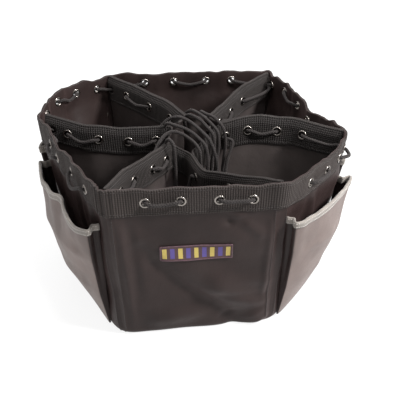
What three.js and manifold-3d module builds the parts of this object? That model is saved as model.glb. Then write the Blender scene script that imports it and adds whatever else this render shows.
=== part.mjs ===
// A six-pouch drawstring garden tool bag, in millimetres, +Z up.
// The origin is on the ground under the middle of the bag, and the front wall faces -Y.
// Six wedge-shaped pouches stand round the middle. Each has an outer wall, a V-shaped lining
// with webbing along its rim, and a drawstring. Four of the walls carry an open outer pocket.
import * as THREE from "three";
import { mergeVertices } from "three/addons/utils/BufferGeometryUtils.js";
import Module from "manifold-3d";

const wasm = await Module();
wasm.setup();

// ---- driving dimensions ----
const HEIGHT = 195;
const WALL = 1.5;
const LINING = 1.2;
const WEBBING = { thick: 1.6, tall: 32 };
const BASE_THICK = 2.4;
const GAP = 0.3;
const EYELET = { hole: 3.3, barrel: 4.0, flange: 6.0, flangeThick: 0.6, cut: 4.5, cutLong: 20, sides: 8,
  drop: 16 };
const CORD_RADIUS = 2.0;
const CORD_SIDES = 8;
const LABEL = { wide: 73, tall: 19, thick: 0.9, gap: 0.5, above: 112 };
const PLY = { centre: 2.4, cornerInset: 6 };

// The corners of the bag, anticlockwise from above. rim and base are the outer wall's corners.
// The partition that starts at a corner runs along its rim through a and b to inner, [x, y, z].
const CORNERS = [
  { name: "front_left", rim: [-92, -174], base: [-82, -154], baseInner: [-14, -14],
    a: [-74, -116, 189], b: [-46, -64, 184], inner: [-26, -24, 182] },
  { name: "front_right", rim: [96, -158], base: [90, -128], baseInner: [2, -18],
    a: [64, -116, 182], b: [14, -78, 169], inner: [-2, -30, 170] },
  { name: "right", rim: [183, -26], base: [151, -20], baseInner: [18, 2],
    a: [118, 12, 196], b: [70, 15, 197], inner: [32, 8, 190] },
  { name: "back_right", rim: [106, 171], base: [84, 142], baseInner: [12, 14],
    a: [60, 110, 194], b: [40, 66, 191], inner: [18, 26, 190] },
  { name: "back_left", rim: [-110, 160], base: [-92, 136], baseInner: [-4, 14],
    a: [-66, 106, 196], b: [-30, 66, 196], inner: [-4, 22, 193] },
  { name: "left", rim: [-181, 25], base: [-154, 14], baseInner: [-14, 2],
    a: [-120, 8, 187], b: [-66, 8, 184], inner: [-20, 6, 189] },
];

// The sides, each from its own corner to the next. fractions places its four eyelets along the rim,
// and bow is how far the rim's middle stands out. A pocket's mouth sinks by droop at its two ends,
// and belly scales its bulge. low and high are the routes of the drawstring's ends to their knot.
const SIDES = [
  { name: "front", bow: 0, fractions: [0.23, 0.43, 0.64, 0.83], pocket: null,
    low: [[-23, -49, 158], [-18, -48, 136], [-15, -52, 100], [-13, -56, 72]],
    high: [[-3, -56, 142], [-7, -57, 122], [-9, -60, 96], [-9, -61, 72]] },
  { name: "front_right", bow: 9, fractions: [0.29, 0.54, 0.72, 0.9], pocket: { droop: [0, 8], belly: 0.9 },
    low: [[22, -47, 140], [26, -40, 112], [28, -33, 80], [29, -28, 58]],
    high: [[48, -3, 172], [42, -12, 150], [38, -18, 110], [34, -24, 58]] },
  { name: "back_right", bow: 0, fractions: [0.38, 0.56, 0.75, 0.91], pocket: { droop: [0, 0], belly: 0.8 },
    low: [[49, 22, 172], [46, 28, 150], [46, 34, 112], [46, 38, 74]],
    high: [[41, 42, 162], [43, 42, 142], [44, 44, 108], [44, 44, 74]] },
  { name: "back", bow: 5, fractions: [0.24, 0.4, 0.6, 0.78], pocket: null,
    low: [[16.5, 42, 184], [12, 33, 194], [12.5, 24, 198], [18.5, 14.5, 198.5], [25, 8, 198.5],
      [31.5, 1.5, 195], [37.5, -4, 188], [40, -7.5, 172], [38, -7.5, 148], [36, -4.5, 116],
      [34.5, -3, 84]],
    high: [[-8, 43, 187], [-1, 33, 196], [4, 24, 198.5], [11, 13.5, 198.5], [17.5, 4, 197],
      [24.5, -3, 192.5], [30.5, -8.5, 186], [32, -11.5, 170], [29.5, -11.5, 150], [29, -9, 116],
      [29.5, -8, 84]] },
  { name: "back_left", bow: 18, fractions: [0.15, 0.37, 0.61, 0.83], pocket: { droop: [0, 0], belly: 1 },
    low: [[-22, 36, 188], [-16.5, 28, 197], [-8, 17.5, 198.5], [2.5, 9, 198.5], [11, 1.5, 196.5],
      [18, -6, 191.5], [25, -12.5, 185], [26.5, -15.5, 170], [24, -16.5, 148], [24.5, -14, 108],
      [25, -11.5, 58]],
    high: [[-37, 16, 182], [-26, 15, 193], [-15, 10, 197], [-3.5, 1.5, 196], [5.5, -6.5, 192],
      [13, -13, 187.5], [20.5, -19.5, 181.5], [27, -25, 167], [30, -26, 146], [26, -21, 104],
      [21, -17, 58]] },
  { name: "front_left", bow: 6, fractions: [0.24, 0.42, 0.6, 0.81], pocket: { droop: [8, 0], belly: 1.3 },
    low: [[-40, -2.5, 180], [-29, -5, 189], [-20, -8, 193.5], [-8.5, -11, 192], [1.5, -15, 187.5],
      [9, -20, 182.5], [16, -26, 176.5], [19, -30, 162], [18.5, -31, 142], [18, -26.5, 110],
      [17, -22, 78]],
    high: [[-39.5, -31, 178.5], [-31, -21, 187.5], [-22, -17, 190.5], [-11, -18.5, 188], [-3, -22, 184],
      [4, -26.5, 179.5], [9, -31.5, 173], [10.5, -33, 158], [12, -31.5, 136], [12.5, -28, 108],
      [12.5, -25, 78]] },
];

// A pocket's gussets stand off the wall by out, and its middle by bulge more, at each height.
// The points a quarter of the way in have a part of the bulge, its shoulder.
const POCKET = { thick: 1.4, margin: 8, reach: 1.5, shoulder: 0.8, levels: [
  { z: 4, out: 3.4, bulge: 1.5 }, { z: 50, out: 10, bulge: 11 },
  { z: 100, out: 14, bulge: 13 }, { z: 148, out: 15, bulge: 5 }] };
const BINDING = { tall: 9, thick: 0.9, pastWall: -4 };

// How far the cord's centre stands off a wall's outer face, outside it and inside it.
const CORD_OUT = 6.4;
const CORD_IN = -6.2;

// The cord's steps through an eyelet: along the wall, and off its face.
const THROUGH = { side: 4.8, near: 0.6, outer: 4.0, inner: -3.8 };

// Where the cord's run along a lining starts, as a share of its first stretch, and where it ends.
const ARM_RUN = { from: 0.35, to: 0.4, clear: 0.6 };

const bag = new THREE.Group();
const nylon = material(0x2e2829, 0.62);
const pocketCloth = material(0x4d4645, 0.68);
const tape = material(0x352f2f, 0.75);
const bindingTape = material(0x77756f, 0.8);
const cord = material(0x2f2b2a, 0.8);
const nickel = material(0xb9b6b0, 0.28, 1);
const label = material(0x2a7a7c, 0.7);

function material(color, roughness, metalness = 0) {
  return new THREE.MeshStandardMaterial({ color, roughness, metalness });
}

function add(name, geometry, look) {
  const mesh = new THREE.Mesh(geometry, look);
  mesh.name = name;
  bag.add(mesh);
  return mesh;
}

// ---- plane geometry ----
const mix = (p, q, t) => p.map((v, i) => v + (q[i] - v) * t);

function leftNormal(p, q) {
  const long = Math.hypot(q[0] - p[0], q[1] - p[1]);
  return [-(q[1] - p[1]) / long, (q[0] - p[0]) / long];
}

// Moves a path to its left by distance, keeping each stretch parallel to itself.
function offset(path, distance, closed = false) {
  const n = path.length;
  return path.map((p, i) => {
    const before = closed || i > 0 ? leftNormal(path[(i - 1 + n) % n], p) : null;
    const after = closed || i < n - 1 ? leftNormal(p, path[(i + 1) % n]) : null;
    const u = before ?? after;
    const v = after ?? before;
    const share = distance / (1 + u[0] * v[0] + u[1] * v[1]);
    return [p[0] + (u[0] + v[0]) * share, p[1] + (u[1] + v[1]) * share];
  });
}

// The outline of the outer walls at height z, moved inwards by inset.
function outline(z, inset = 0) {
  return offset(CORNERS.map((c) => mix(c.base, c.rim, z / HEIGHT)), inset, true);
}

// The shares of a side's length where its wall bends: its ends, and between each pair of eyelets.
function stationsOf(side) {
  const { fractions } = SIDES[side];
  return [0, ...fractions.slice(1).map((share, i) => (fractions[i] + share) / 2), 1];
}

// The station before a share of a side's length, and the one after it.
function stretchOf(side, share) {
  const stations = stationsOf(side);
  const after = Math.min(stations.length - 1, Math.max(1, stations.findIndex((t) => t >= share)));
  return [stations[after - 1], stations[after]];
}

// How far a side's wall stands out from the straight line between its corners. It grows from the
// floor up to the webbing, which keeps its shape to the rim.
function bowAt(side, share, z) {
  const [from, to] = stretchOf(side, share);
  const [near, far] = [Math.sin(Math.PI * from), Math.sin(Math.PI * to)];
  const rise = Math.min(1, z / (HEIGHT - WEBBING.tall));
  return SIDES[side].bow * rise * (near + ((far - near) * (share - from)) / (to - from));
}

// A point of a side's outer wall, moved inwards by inset.
function wallPoint(side, share, z, inset = 0) {
  const loop = outline(z, inset);
  const [p, q] = [loop[side], loop[(side + 1) % 6]];
  const inward = leftNormal(p, q);
  const out = bowAt(side, share, z);
  const [x, y] = mix(p, q, share);
  return [x - inward[0] * out, y - inward[1] * out, z];
}

// A side's share t between its ends, once each end is held back by a length.
function trimmed(side, z, t, held) {
  const loop = outline(z);
  const [p, q] = [loop[side], loop[(side + 1) % 6]];
  const trim = held / Math.hypot(q[0] - p[0], q[1] - p[1]);
  return trim + (1 - 2 * trim) * t;
}

// ---- solids ----
// A closed body between two grids of points: rows go up, and each row runs along the sheet.
function sheet(near, far, closed = false) {
  const rows = near.length;
  const columns = near[0].length;
  const last = closed ? columns : columns - 1;
  const points = [...near.flat(), ...far.flat()];
  const at = (side, i, j) => side * rows * columns + i * columns + (j % columns);
  const index = [];
  const quad = (a, b, c, d) => index.push(a, b, c, a, c, d);
  for (let j = 0; j < last; j++) {
    for (let i = 0; i < rows - 1; i++) {
      quad(at(0, i, j), at(0, i, j + 1), at(0, i + 1, j + 1), at(0, i + 1, j));
      quad(at(1, i, j), at(1, i + 1, j), at(1, i + 1, j + 1), at(1, i, j + 1));
    }
    quad(at(0, 0, j), at(1, 0, j), at(1, 0, j + 1), at(0, 0, j + 1));
    quad(at(0, rows - 1, j), at(0, rows - 1, j + 1), at(1, rows - 1, j + 1), at(1, rows - 1, j));
  }
  if (!closed) {
    for (let i = 0; i < rows - 1; i++) {
      quad(at(0, i, 0), at(0, i + 1, 0), at(1, i + 1, 0), at(1, i, 0));
      quad(at(0, i, last), at(1, i, last), at(1, i + 1, last), at(0, i + 1, last));
    }
  }
  return new THREE.BufferGeometry()
    .setAttribute("position", new THREE.Float32BufferAttribute(points.flat(), 3))
    .setIndex(index);
}

function toSolid(geometry) {
  const bare = geometry.clone();
  bare.deleteAttribute("normal");
  bare.deleteAttribute("uv");
  const merged = mergeVertices(bare);
  return new wasm.Manifold(new wasm.Mesh({
    numProp: 3,
    vertProperties: merged.attributes.position.array,
    triVerts: new Uint32Array(merged.index.array),
  }));
}

function toGeometry(solid) {
  const mesh = solid.getMesh();
  return new THREE.BufferGeometry()
    .setAttribute("position", new THREE.BufferAttribute(mesh.vertProperties, 3))
    .setIndex(new THREE.BufferAttribute(mesh.triVerts, 1));
}

function cut(geometry, tools) {
  return toGeometry(tools.reduce((solid, tool) => solid.subtract(toSolid(tool)), toSolid(geometry)));
}

// A matrix that puts a geometry's Y axis along normal, at place.
function facing(place, normal) {
  const turn = new THREE.Quaternion().setFromUnitVectors(new THREE.Vector3(0, 1, 0), normal);
  return new THREE.Matrix4().compose(place, turn, new THREE.Vector3(1, 1, 1));
}

// A curve that has a section exactly at each of its points, where the cord turns sharply.
class CordRoute extends THREE.CatmullRomCurve3 {
  getPointAt(u, target) {
    return this.getPoint(u, target);
  }
  getTangentAt(u, target) {
    return this.getTangent(u, target);
  }
}

function cordAlong(points) {
  const route = new CordRoute(points.map((p) => new THREE.Vector3(...p)), false, "centripetal");
  const ring = Array.from({ length: CORD_SIDES }, (_, i) => {
    const angle = (i / CORD_SIDES) * 2 * Math.PI;
    return new THREE.Vector2(CORD_RADIUS * Math.cos(angle), CORD_RADIUS * Math.sin(angle));
  });
  return new THREE.ExtrudeGeometry(new THREE.Shape(ring), { extrudePath: route, steps: points.length - 1 });
}

// ---- eyelets ----
// Where a side's eyelet is: on the wall's outer face, at a share of the rim's length.
function eyeletPlace(side, share) {
  const at = (t, z) => new THREE.Vector3(...wallPoint(side, t, z));
  const [from, to] = stretchOf(side, share);
  const top = at(share, HEIGHT);
  const down = at(share, HEIGHT - WEBBING.tall).sub(top).normalize();
  const level = HEIGHT - EYELET.drop;
  const along = at(to, level).sub(at(from, level)).normalize();
  const normal = new THREE.Vector3().crossVectors(down, along).normalize();
  return { place: top.addScaledVector(down, EYELET.drop), normal, along };
}

// A rolled eyelet: a barrel through the wall and the webbing, with a flange on each side.
function eyeletGeometry() {
  const outer = GAP + WEBBING.thick + GAP;
  const inner = -WALL - GAP;
  const profile = [
    [EYELET.hole, inner - EYELET.flangeThick], [EYELET.flange, inner - EYELET.flangeThick],
    [EYELET.flange, inner], [EYELET.barrel, inner], [EYELET.barrel, outer], [EYELET.flange, outer],
    [EYELET.flange, outer + EYELET.flangeThick], [EYELET.hole, outer + EYELET.flangeThick],
    [EYELET.hole, inner - EYELET.flangeThick],
  ].map(([x, y]) => new THREE.Vector2(x, y));
  return new THREE.LatheGeometry(profile, EYELET.sides);
}

function eyeletCuts(side) {
  return SIDES[side].fractions.map((share) => {
    const { place, normal } = eyeletPlace(side, share);
    return new THREE.CylinderGeometry(EYELET.cut, EYELET.cut, EYELET.cutLong, EYELET.sides)
      .applyMatrix4(facing(place, normal));
  });
}

function addEyelets(side) {
  SIDES[side].fractions.forEach((share, i) => {
    const { place, normal } = eyeletPlace(side, share);
    const mesh = add(`eyelet_${SIDES[side].name}_${i + 1}`, eyeletGeometry(), nickel);
    mesh.applyMatrix4(facing(place, normal));
  });
}

// ---- base and outer walls ----
function addBase() {
  const shape = new THREE.Shape(outline(0, WALL + GAP).map((p) => new THREE.Vector2(...p)));
  add("base_panel", new THREE.ExtrudeGeometry(shape, { depth: BASE_THICK, bevelEnabled: false }), nylon);
}

// The walls have rows of points up to the webbing's lower edge, and one at the rim.
function wallLevels() {
  const edge = HEIGHT - WEBBING.tall;
  return [0, edge / 4, edge / 2, (3 * edge) / 4, edge, HEIGHT];
}

function addWall(side) {
  const panel = (inset) => wallLevels().map((z) =>
    stationsOf(side).map((t) => wallPoint(side, trimmed(side, z, t, GAP), z, inset)));
  add(`wall_${SIDES[side].name}`, cut(sheet(panel(0), panel(WALL)), eyeletCuts(side)), nylon);
}

function addRimWebbing() {
  const band = (inset) => wallLevels().slice(-2).map((z) =>
    SIDES.flatMap((_, side) => stationsOf(side).slice(0, -1).map((t) => wallPoint(side, t, z, inset))));
  const cuts = SIDES.flatMap((_, side) => eyeletCuts(side));
  add("rim_webbing", cut(sheet(band(-GAP - WEBBING.thick), band(-GAP), true), cuts), tape);
}

// ---- linings ----
// A pouch's lining runs down one partition, across the bag's middle and back along the next.
function liningPath(side) {
  const next = (side + 1) % 6;
  const start = (i, z) => outline(z, PLY.cornerInset)[i];
  const [low, high] = [CORNERS[side], CORNERS[next]];
  const top = [[...start(side, HEIGHT), HEIGHT], low.a, low.b, low.inner,
    high.inner, high.b, high.a, [...start(next, HEIGHT), HEIGHT]];
  const floor = BASE_THICK + GAP;
  const run = (i, inner) => [0, 1 / 3, 2 / 3, 1].map((t) => mix(start(i, floor), inner, t));
  const bottom = [...run(side, low.baseInner), ...run(next, high.baseInner).reverse()];
  return { bottom: bottom.map((p) => [...p, floor]), top };
}

// The lining's points at a given drop below its rim.
function liningRow(side, drop) {
  const { bottom, top } = liningPath(side);
  return top.map((p, i) => mix(p, bottom[i], drop / (p[2] - bottom[i][2])));
}

// The lining's rows of points: up from the floor to the webbing's lower edge, and the rim.
function liningRows(side) {
  const { bottom } = liningPath(side);
  const edge = liningRow(side, WEBBING.tall);
  const between = [0.25, 0.5, 0.75].map((t) => bottom.map((p, i) => mix(p, edge[i], t)));
  return [bottom, ...between, edge, liningRow(side, 0)];
}

// A layer that follows the rows, from near to far off the partition on the pouch's side.
function liningLayer(rows, near, far) {
  const moved = (distance) => rows.map((row) => offset(row, -distance).map((p, i) => [...p, row[i][2]]));
  return sheet(moved(far), moved(near));
}

function addLining(side) {
  const rows = liningRows(side);
  const face = PLY.centre + LINING;
  const name = SIDES[side].name;
  add(`lining_${name}`, liningLayer(rows, PLY.centre, face), nylon);
  add(`lining_webbing_${name}`, liningLayer(rows.slice(-2), face + GAP, face + GAP + WEBBING.thick), tape);
}

// ---- outer pockets ----
// The pocket's outer face at one level, moved inwards by inset: out along the first gusset, across,
// and back. reach is how far off the wall its ends stop.
function pocketRow(side, { z, out, bulge }, inset, reach) {
  const { droop, belly } = SIDES[side].pocket;
  const loop = outline(z);
  const inward = leftNormal(loop[side], loop[(side + 1) % 6]);
  const round = belly * bulge;
  const stations = [[0, reach], [0, out], [0.25, out + POCKET.shoulder * round], [0.5, out + round],
    [0.75, out + POCKET.shoulder * round], [1, out], [1, reach]];
  const row = stations.map(([t, d]) => {
    const height = z * (1 - (droop[0] * (1 - t) + droop[1] * t) / POCKET.levels.at(-1).z);
    const [x, y] = wallPoint(side, trimmed(side, height, t, POCKET.margin), height);
    return [x - inward[0] * d, y - inward[1] * d, height];
  });
  return offset(row, inset).map((p, i) => [...p, row[i][2]]);
}

function pocketRows(side, levels, inset, reach = POCKET.reach) {
  return levels.map((level) => pocketRow(side, level, inset, reach));
}

// The pocket's level at a given drop below its mouth.
function mouthLevel(drop) {
  const [below, mouth] = POCKET.levels.slice(-2);
  const t = 1 - drop / (mouth.z - below.z);
  const [out, bulge] = mix([below.out, below.bulge], [mouth.out, mouth.bulge], t);
  return { z: mouth.z - drop, out, bulge };
}

// The mouth's binding is folded over the pocket's edge, so it stands inside and outside it.
function bindingGeometry(side) {
  const fold = [mouthLevel(BINDING.tall), mouthLevel(-GAP - BINDING.thick)];
  const whole = sheet(pocketRows(side, fold, -GAP - BINDING.thick),
    pocketRows(side, fold, POCKET.thick + GAP + BINDING.thick));
  const slot = [mouthLevel(2 * BINDING.tall), mouthLevel(-GAP)];
  return cut(whole, [sheet(pocketRows(side, slot, -GAP, BINDING.pastWall),
    pocketRows(side, slot, POCKET.thick + GAP, BINDING.pastWall))]);
}

function addPocket(side) {
  const name = SIDES[side].name;
  const levels = [...POCKET.levels.slice(0, -1), mouthLevel(2 * BINDING.tall), mouthLevel(0)];
  const cloth = sheet(pocketRows(side, levels, 0), pocketRows(side, levels, POCKET.thick));
  add(`pocket_${name}`, cloth, pocketCloth);
  add(`pocket_binding_${name}`, bindingGeometry(side), bindingTape);
}

// ---- label ----
// The woven label lies flat on the front wall and follows its slight twist.
function addLabel() {
  const { wide, tall, thick, gap, above } = LABEL;
  const rows = (inset) => [-0.5, 0.5].map((rise) => {
    const z = above + rise * tall;
    const [p, q] = outline(z, inset);
    const half = wide / 2 / Math.hypot(q[0] - p[0], q[1] - p[1]);
    return [0.5 - half, 0.5, 0.5 + half].map((t) => [...mix(p, q, t), z]);
  });
  add("label_patch", sheet(rows(-gap - thick), rows(-gap)), label);
}

// ---- drawstrings ----
// The cord in one outer wall: in through the eyelets by turns, and outside between each pair.
function wallRun(side) {
  const places = SIDES[side].fractions.map((share) => eyeletPlace(side, share));
  const at = ({ place, normal, along }, s, d) =>
    place.clone().addScaledVector(along, s).addScaledVector(normal, d).toArray();
  return places.flatMap((eyelet, i) => {
    const outwards = i % 2 === 0;
    const steps = [[-THROUGH.side, CORD_IN], [-THROUGH.near, THROUGH.inner],
      [THROUGH.near, THROUGH.outer], [THROUGH.side, CORD_OUT]];
    const turned = outwards ? steps : steps.map(([s, d]) => [-s, d]).reverse();
    const points = turned.map(([s, d]) => at(eyelet, s, d));
    if (i === 3) return points;
    const next = places[i + 1];
    const middle = mix(eyelet.place.toArray(), next.place.toArray(), 0.5);
    const d = outwards ? CORD_OUT : CORD_IN;
    return [...points, eyelet.normal.clone().multiplyScalar(d).add(new THREE.Vector3(...middle)).toArray()];
  });
}

// The cord along one arm of the lining, on the pouch's side of it, at the eyelets' height.
function liningRun(side, arm) {
  const off = PLY.centre + LINING + GAP + WEBBING.thick + GAP + CORD_RADIUS + ARM_RUN.clear;
  const level = liningRow(side, EYELET.drop);
  const row = offset(level, -off).map((p, i) => [...p, level[i][2]]);
  const [corner, a, b, inner] = arm === "low" ? row : [...row].reverse();
  return [mix(corner, a, ARM_RUN.from), a, b, mix(b, inner, ARM_RUN.to)];
}

function addDrawstring(side) {
  const { name, low, high } = SIDES[side];
  const points = [...[...liningRun(side, "low"), ...low].reverse(), ...wallRun(side),
    ...liningRun(side, "high"), ...high];
  add(`drawstring_${name}`, cordAlong(points), cord);
}

// ---- the bag ----
addBase();
addRimWebbing();
addLabel();
SIDES.forEach((side, i) => {
  addWall(i);
  addLining(i);
  addEyelets(i);
  addDrawstring(i);
  if (side.pocket) addPocket(i);
});

export default bag;
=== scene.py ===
"""The looks of a six-pouch drawstring garden tool bag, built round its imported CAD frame.

Everything is worked out in millimetres, in the frame's axes, and turned into metres as a mesh is made.
Each sheet of cloth is a grid of points over two lengths: along its rim, and up or down it.
"""
import math

import bpy
import numpy as np
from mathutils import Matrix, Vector, noise


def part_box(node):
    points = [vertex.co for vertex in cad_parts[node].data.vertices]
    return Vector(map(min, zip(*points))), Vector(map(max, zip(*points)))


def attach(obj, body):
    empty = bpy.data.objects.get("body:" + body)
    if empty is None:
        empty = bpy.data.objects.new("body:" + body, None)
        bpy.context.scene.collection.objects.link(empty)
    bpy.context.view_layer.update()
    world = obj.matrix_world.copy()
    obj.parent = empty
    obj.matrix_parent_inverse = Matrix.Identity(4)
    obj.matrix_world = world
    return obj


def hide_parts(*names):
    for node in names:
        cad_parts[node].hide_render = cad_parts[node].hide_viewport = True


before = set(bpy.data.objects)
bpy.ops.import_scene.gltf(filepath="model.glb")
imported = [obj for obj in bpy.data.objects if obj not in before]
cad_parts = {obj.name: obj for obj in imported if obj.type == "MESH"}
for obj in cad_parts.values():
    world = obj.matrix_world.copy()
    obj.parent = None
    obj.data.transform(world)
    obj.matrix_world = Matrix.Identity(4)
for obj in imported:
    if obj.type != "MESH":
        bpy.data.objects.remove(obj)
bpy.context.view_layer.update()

MM = 0.001
BODY = "root"


def node_box(node):
    """The lowest and highest corners of a CAD node, in millimetres."""
    low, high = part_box(node)
    return np.array(low) / MM, np.array(high) / MM


# ---- driving dimensions, close to the CAD source's ----
# A few differ from it on purpose: the eyelets and the webbing are finer here.
HEIGHT = node_box("wall_front")[1][2]
FLOOR = node_box("base_panel")[1][2] + 0.3
WALL = 1.5
LINING = 1.2
PLY = {"centre": 2.4, "corner_inset": 6.0}
WEBBING = {"thick": 1.5, "tall": 32.0, "gap": 0.2}
EYELET = {"hole": 3.8, "flange": 5.9, "cut": 4.4, "drop": 16.0, "back_drop": 12.0}
BACK_SIDES = (2, 3, 4)
CORD_RADIUS = 2.0
# How far the outline is rounded at the rim and at the base, and how far each corner is filled out.
CORNER_ROUND = {"rim": 21.0, "base": 42.0, "fill": (3.2, 2.0, -2.4, 2.0, 3.2, 3.2)}
# How far off a partition's line its cloth and its webbing face the pouch.
FACE = PLY["centre"] + LINING
TAPE_FACE = FACE + WEBBING["gap"] + WEBBING["thick"]
# An end that is over goes through the lining this far from the corner.
CORNER_PASS = 8.0

# The corners of the bag, anticlockwise from above. rim and base are the outer wall's corners.
# The partition that starts at a corner runs along its rim through a and b to inner.
CORNERS = [
    {"rim": (-92, -174), "base": (-82, -154), "base_inner": (-14, -14),
     "a": (-74, -116, 189), "b": (-46, -64, 184), "inner": (-26, -24, 182)},
    {"rim": (96, -158), "base": (90, -128), "base_inner": (2, -18),
     "a": (64, -116, 182), "b": (14, -78, 169), "inner": (-2, -30, 170)},
    {"rim": (183, -26), "base": (151, -20), "base_inner": (18, 2),
     "a": (118, 12, 196), "b": (70, 15, 197), "inner": (32, 8, 190)},
    {"rim": (106, 171), "base": (84, 142), "base_inner": (12, 14),
     "a": (60, 110, 194), "b": (40, 66, 191), "inner": (18, 26, 190)},
    {"rim": (-110, 160), "base": (-92, 136), "base_inner": (-4, 14),
     "a": (-66, 106, 196), "b": (-30, 66, 196), "inner": (-4, 22, 193)},
    {"rim": (-181, 25), "base": (-154, 14), "base_inner": (-14, 2),
     "a": (-120, 8, 187), "b": (-66, 8, 184), "inner": (-20, 6, 189)},
]

# The sides, each from its own corner to the next. bow is how far the rim's middle stands out, gather is
# how much the drawstring puckers it, and a pocket's mouth sinks by droop at its ends.
# eyelets are shares of each lining arm, from the corner inwards, and low and high are the routes of the
# drawstring's ends. The arms in "over" come up between two linings, so their routes start above the rim.
EVEN = (0.15, 0.37, 0.59, 0.80)
SIDES = [
    {"name": "front", "bow": 0, "gather": 0.4, "pocket": None, "over": ["low"],
     "eyelets": {"low": (0.20, 0.42, 0.68, 0.88), "high": (0.09, 0.27, 0.45, 0.80)},
     "low": [(-28.1, -33.6, 187), (-24.7, -38.5, 189.5), (-21.2, -43.4, 187), (-19.8, -45.4, 181),
             (-18.5, -47.5, 160), (-18, -48, 136), (-15, -52, 100), (-13, -56, 72)],
     "high": [(-3, -56, 142), (-7, -57, 122), (-9, -60, 96), (-9, -61, 72)]},
    {"name": "front_right", "bow": 9, "gather": 1.0, "pocket": {"droop": (0, 8), "belly": 0.9}, "over": [],
     "eyelets": {"low": EVEN, "high": (0.32, 0.54, 0.77, 0.95)},
     "low": [(22, -47, 140), (26, -40, 112), (28, -33, 80), (29, -28, 58)],
     "high": [(48, -3, 172), (42, -12, 150), (38, -18, 110), (34, -24, 58)]},
    {"name": "back_right", "bow": 0, "gather": 1.5, "pocket": {"droop": (0, 0), "belly": 0.8}, "over": [],
     "eyelets": {"low": EVEN, "high": (0.42, 0.64, 0.83, 0.96)},
     "low": [(49, 22, 172), (46, 28, 150), (46, 34, 112), (46, 38, 74)],
     "high": [(41, 42, 162), (43, 42, 142), (44, 44, 108), (44, 44, 74)]},
    {"name": "back", "bow": 5, "gather": 0.6, "pocket": None, "over": [],
     "eyelets": {"low": EVEN, "high": EVEN},
     "low": [(16.5, 42, 184), (12, 33, 194), (12.5, 24, 198), (18.5, 14.5, 198.5), (25, 8, 198.5),
             (31.5, 1.5, 195), (37.5, -4, 188), (40, -7.5, 172), (38, -7.5, 148), (36, -4.5, 116),
             (34.5, -3, 84)],
     "high": [(-8, 43, 187), (-1, 33, 196), (4, 24, 198.5), (11, 13.5, 198.5), (17.5, 4, 197),
             (24.5, -3, 192.5), (30.5, -8.5, 186), (32, -11.5, 170), (29.5, -11.5, 150), (29, -9, 116),
             (29.5, -8, 84)]},
    {"name": "back_left", "bow": 18, "gather": 1.6, "pocket": {"droop": (0, 0), "belly": 1.0},
     "over": ["low"], "eyelets": {"low": (0.24, 0.52, 0.79, 0.96), "high": EVEN},
     "low": [(-6, 17.5, 195.9), (-1.1, 13, 198.5), (4, 7.8, 198.5), (11, 1.5, 196.5), (18, -6, 191.5),
             (25, -12.5, 185), (26.5, -15.5, 170), (24, -16.5, 148), (24.5, -14, 108), (25, -11.5, 58)],
     "high": [(-37, 16, 182), (-26, 15, 193), (-15, 10, 197), (-3.5, 1.5, 196), (5.5, -6.5, 192),
             (13, -13, 187.5), (20.5, -19.5, 181.5), (27, -25, 167), (30, -26, 146), (26, -21, 104),
             (21, -17, 58)]},
    {"name": "front_left", "bow": 6, "gather": 1.4, "pocket": {"droop": (8, 0), "belly": 1.3},
     "over": ["low"], "eyelets": {"low": (0.18, 0.42, 0.64, 0.86), "high": EVEN},
     "low": [(-29.9, 3.9, 190.9), (-25.8, -1, 193.5), (-19, -7, 193.8), (-8.5, -11, 192), (1.5, -15, 187.5),
             (9, -20, 182.5), (16, -26, 176.5), (19, -30, 162), (18.5, -31, 142), (18, -26.5, 110),
             (17, -22, 78)],
     "high": [(-39.5, -31, 178.5), (-31, -21, 187.5), (-22, -17, 190.5), (-11, -18.5, 188),
             (-3, -22, 184), (4, -26.5, 179.5), (9, -31.5, 173), (10.5, -33, 158), (12, -31.5, 136),
             (12.5, -28, 108), (12.5, -25, 78)]},
]

# Folds pressed into a wall: from one place to another, each (share of the side, height), width and depth.
FOLDS = {
    0: [((0.17, 124), (0.27, 98), 9, -3.0), ((0.27, 98), (0.42, 64), 9, -3.6),
        ((0.42, 64), (0.59, 42), 9, -3.8), ((0.59, 42), (0.72, 20), 10, -4.0),
        ((0.38, 104), (0.78, 44), 25, 3.6), ((0.60, 64), (0.92, 34), 13, 5.0),
        ((0.62, 74), (0.97, 64), 10, 3.0), ((0.64, 52), (0.95, 44), 6, -2.5),
        ((0.22, 20), (0.53, 28), 11, 4.0), ((0.72, 22), (0.76, 0), 12, -4.5),
        ((0.60, 132), (0.92, 112), 24, 3.0), ((0.66, 164), (0.71, 146), 5, -4.0),
        ((0.74, 156), (0.86, 164), 5, 3.6), ((0.79, 150), (0.90, 130), 7, 3.0),
        ((0.945, 145), (0.93, 50), 4, 2.4), ((0.08, 150), (0.10, 30), 4, 2.0),
        ((0.13, 150), (0.15, 60), 6, -2.4), ((0.88, 20), (0.92, 4), 13, 4.0)],
    1: [((0.1, 158), (0.5, 90), 11, -4.0), ((0.9, 160), (0.5, 60), 14, 3.2),
        ((0.35, 164), (0.42, 120), 8, 3.0)],
    2: [((0.15, 140), (0.6, 70), 14, -3.5), ((0.85, 130), (0.5, 30), 14, 3.0)],
    3: [((0.1, 140), (0.5, 60), 13, -4.0), ((0.5, 60), (0.9, 20), 13, -3.4),
        ((0.75, 150), (0.6, 80), 12, 3.4)],
    4: [((0.1, 140), (0.5, 70), 13, 3.2), ((0.9, 140), (0.5, 40), 13, -3.4)],
    5: [((0.1, 130), (0.55, 60), 13, 3.4), ((0.92, 150), (0.6, 30), 10, -3.4),
        ((0.62, 165), (0.70, 110), 7, -3.0), ((0.80, 165), (0.86, 110), 7, 3.0)],
}

# corner is the share of a pocket's path that each gusset takes.
POCKET = {"thick": 1.2, "base_margin": 17.0, "mouth_margin": 9.0, "reach": 1.4, "corner": 0.1}
# How much further in a pocket starts and ends at the base, and half of it at the mouth.
POCKET_INSETS = {1: (0, 0), 2: (14, 0), 4: (0, 0), 5: (0, 12)}
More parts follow.
